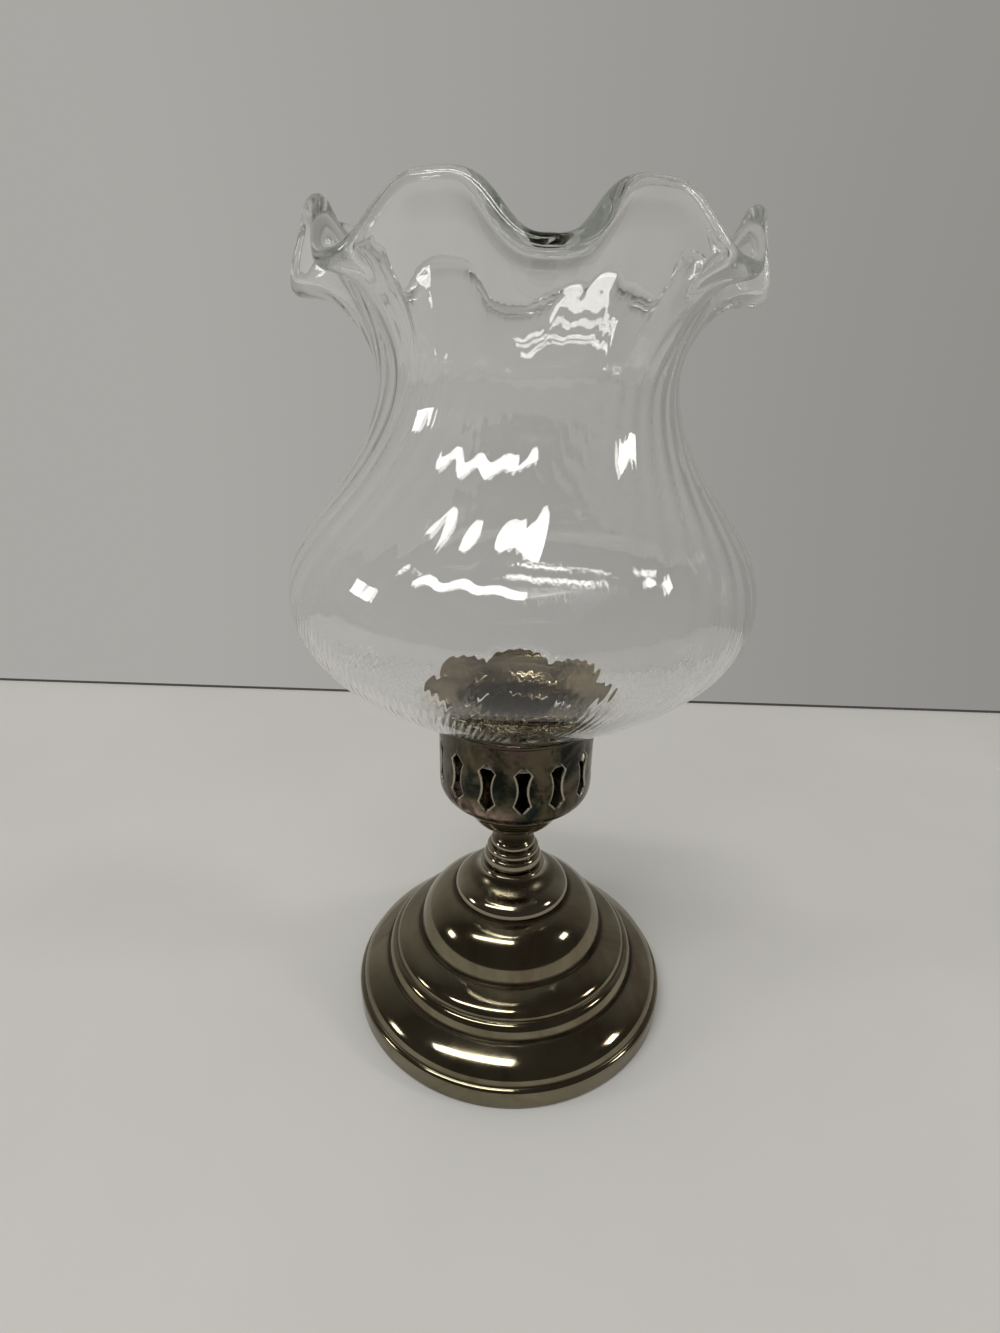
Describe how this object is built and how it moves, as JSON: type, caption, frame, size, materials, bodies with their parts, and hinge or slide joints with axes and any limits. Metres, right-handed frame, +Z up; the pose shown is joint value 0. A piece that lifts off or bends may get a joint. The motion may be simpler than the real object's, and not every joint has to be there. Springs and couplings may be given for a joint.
{
  "type": "candle lamp",
  "caption": "Free-standing candle lamp: stepped round metal foot, turned stem, pierced gallery and a ruffled clear glass shade that lifts off.",
  "frame": {"origin": "centre of the felt pad's underside, on the table", "axes": "+Z up the stem, -Y the side the picture shows"},
  "size_m": [0.124, 0.124, 0.2295],
  "materials": {
    "silver_plate": "polished silver plate on brass, darkened with age",
    "tarnished_plate": "silver plate on brass, mottled dark tarnish",
    "brass": "bare brass, browned",
    "zinc_steel": "zinc-plated steel",
    "cast_iron": "as cast",
    "felt": "dark green felt",
    "clear_glass": "clear blown glass with fine swirled ribs and a fire-polished ruffled lip"
  },
  "bodies": {
    "candlestick": {"foot_shell": "silver_plate", "felt_pad": "felt", "base_plate": "zinc_steel", "base_weight": "cast_iron", "tie_rod": "zinc_steel", "rod_nut": "zinc_steel", "spring_washer": "zinc_steel", "flat_washer": "zinc_steel", "bell_cap": "silver_plate", "stem": "silver_plate", "cup_saucer": "silver_plate", "gallery": "tarnished_plate", "candle_socket": "brass"},
    "shade": {"glass_shade": "clear_glass"},
    "collar": {"petal_collar": "brass"}
  },
  "joints": [
    {"name": "shade_lift", "type": "slide", "parent": "candlestick", "child": "shade", "axis": [0, 0, 1], "range_m": [0, 0.12]},
    {"name": "collar_lift", "type": "slide", "parent": "shade", "child": "collar", "axis": [0, 0, 1], "range_m": [0, 0.15]}
  ]
}
